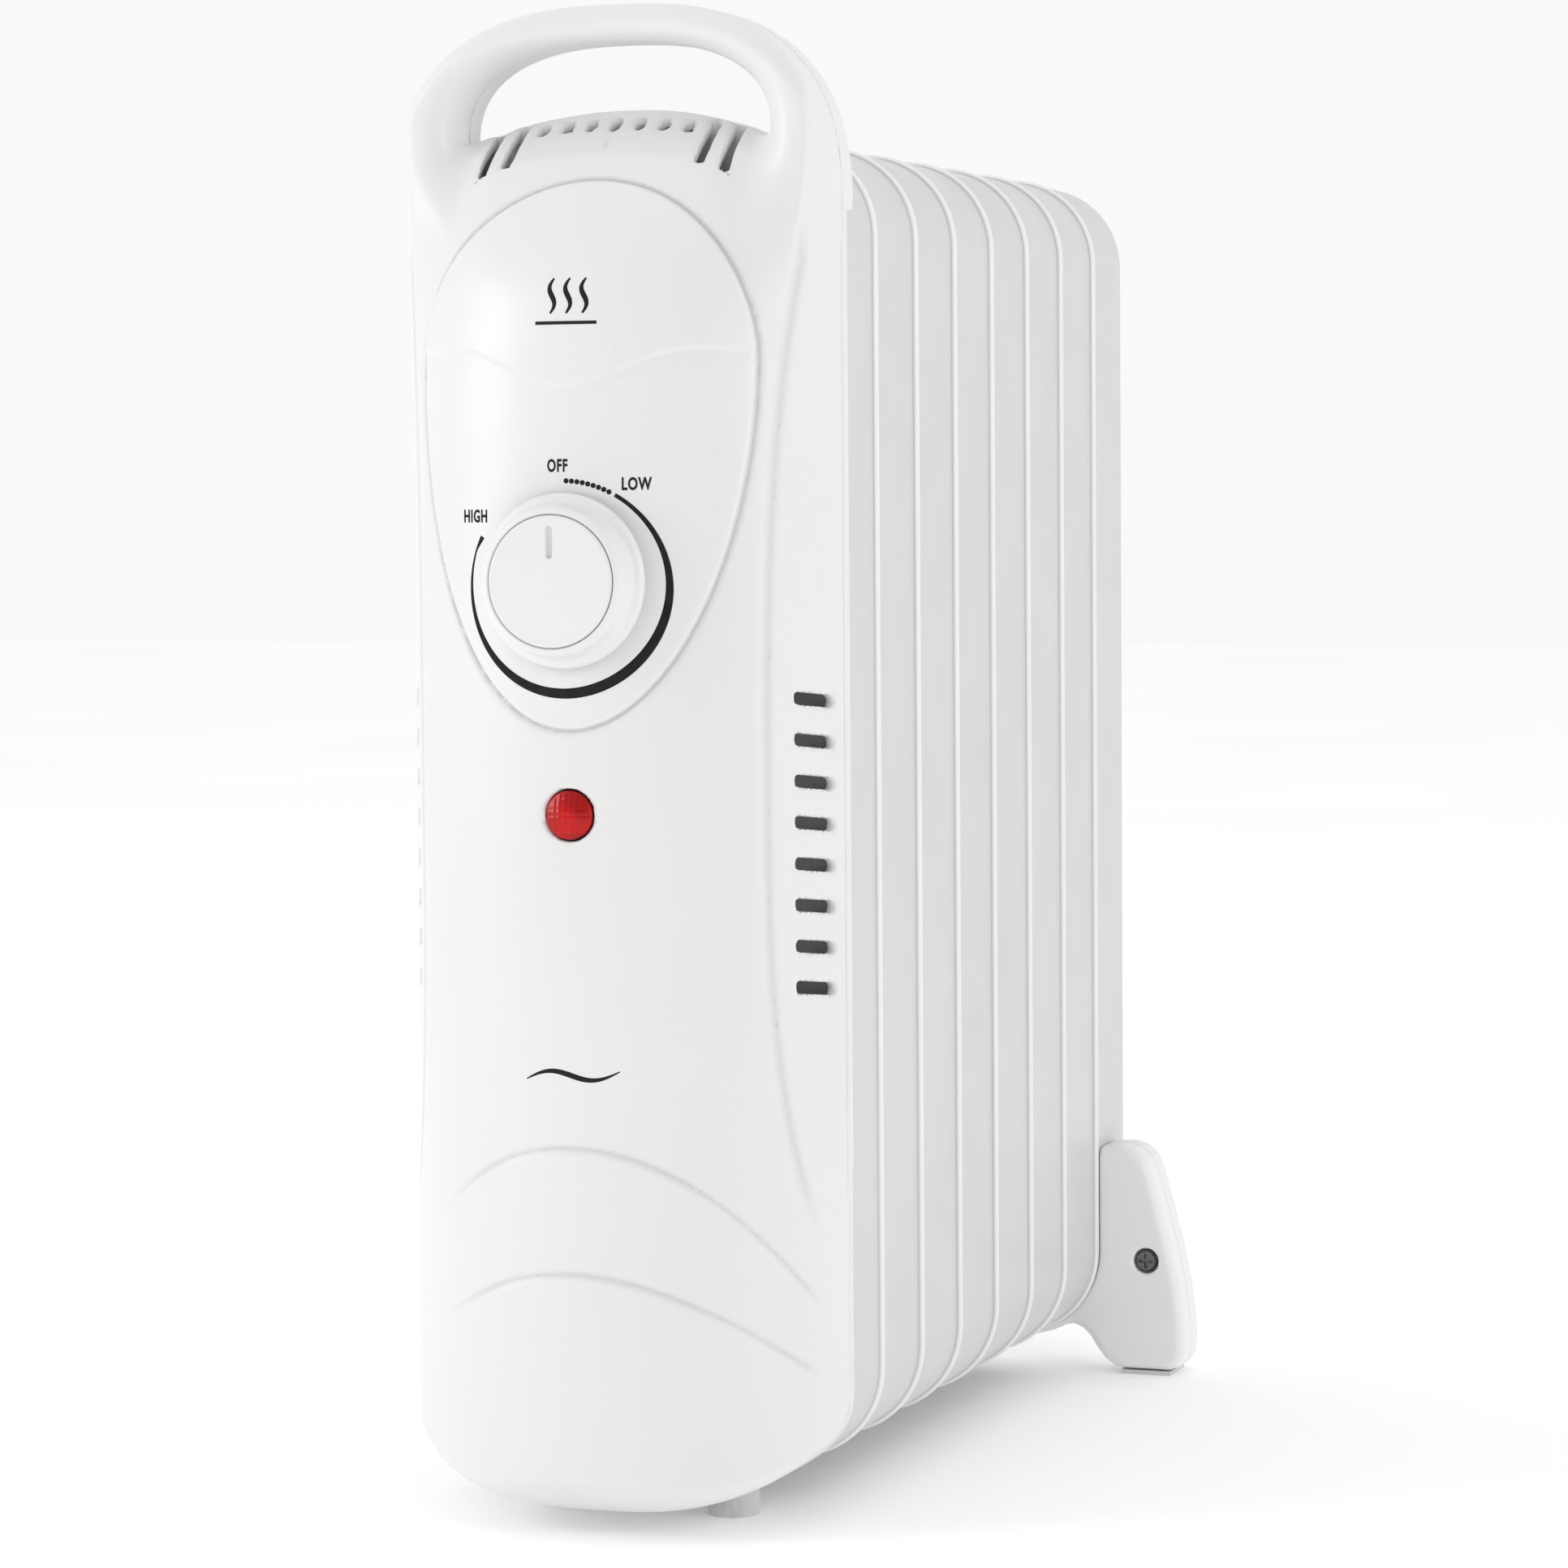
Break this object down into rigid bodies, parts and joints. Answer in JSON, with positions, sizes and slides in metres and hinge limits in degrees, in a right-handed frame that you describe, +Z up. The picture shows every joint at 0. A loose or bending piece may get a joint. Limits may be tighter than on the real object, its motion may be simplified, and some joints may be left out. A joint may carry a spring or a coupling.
{
  "type": "oil filled radiator heater",
  "caption": "Small portable oil filled radiator heater: pressed steel fins, moulded control housing with fixed handle, turning thermostat knob, indicator lamp and flared rear foot.",
  "frame": {"origin": "on the floor below the middle of the heater's bounding box", "axes": "+Z up, control housing toward -Y, fins stacked toward +Y, left and right sides toward -X and +X"},
  "size_m": [0.167, 0.3042, 0.3847],
  "materials": {
    "cover_plastic": "satin white moulded plastic",
    "panel_plastic": "smooth white moulded inlay with printed grey scale",
    "knob_plastic": "satin white moulded plastic",
    "foot_plastic": "satin white moulded plastic",
    "fin_paint": "white powder coat on pressed steel",
    "screw_steel": "zinc plated steel",
    "bracket_steel": "bare stamped steel",
    "element_steel": "heat darkened steel sheath",
    "brass": "plain brass",
    "ceramic": "unglazed cream steatite",
    "dark_plastic": "black phenolic",
    "gland_plastic": "white nylon",
    "wire_sleeve": "woven glass sleeving",
    "gasket_rubber": "black fibre and rubber",
    "pad_rubber": "off-white soft rubber",
    "lamp_red": "clear red faceted lens"
  },
  "bodies": {
    "heater": {"front_cover": "cover_plastic", "control_panel": "panel_plastic", "back_cover": "cover_plastic", "cover_screw_1": "screw_steel", "cover_screw_2": "screw_steel", "cover_screw_3": "screw_steel", "cover_screw_4": "screw_steel", "thermostat_bracket": "bracket_steel", "thermostat_body": "ceramic", "contact_blade": "brass", "bimetal_strip": "bracket_steel", "lamp_lens": "lamp_red", "lamp_body": "dark_plastic", "steel_shroud": "fin_paint", "fin_1": "fin_paint", "fin_2": "fin_paint", "fin_3": "fin_paint", "fin_4": "fin_paint", "fin_5": "fin_paint", "fin_6": "fin_paint", "fin_7": "fin_paint", "oil_filler_plug": "bracket_steel", "element_gasket": "gasket_rubber", "heating_element": "element_steel", "terminal_block": "dark_plastic", "lead_wire_left": "wire_sleeve", "lead_wire_right": "wire_sleeve", "cable_gland": "gland_plastic", "thermal_cutout": "dark_plastic", "cutout_clip": "bracket_steel", "earth_screw": "brass", "rear_foot_front_half": "foot_plastic", "rear_foot_rear_half": "foot_plastic", "foot_screw_left": "screw_steel", "foot_screw_right": "screw_steel", "rear_pad_left": "pad_rubber", "rear_pad_right": "pad_rubber", "front_pad_left": "pad_rubber", "front_pad_right": "pad_rubber"},
    "control_knob": {"knob": "knob_plastic", "knob_face": "knob_plastic", "thermostat_spindle": "brass"},
    "thermostat_pin": {"push_pin": "ceramic"}
  },
  "joints": [
    {"name": "knob_turn", "type": "hinge", "parent": "heater", "child": "control_knob", "pos_m": [0, -0.1402, 0.2405], "axis": [0, 1, 0], "range_deg": [0, 300]},
    {"name": "pin_push", "type": "slide", "parent": "heater", "child": "thermostat_pin", "axis": [0, 1, 0], "range_m": [0, 0.0007]}
  ],
  "couplings": [
    {"joint": "pin_push", "follows": "knob_turn", "m_per_rad": 0.000115}
  ]
}
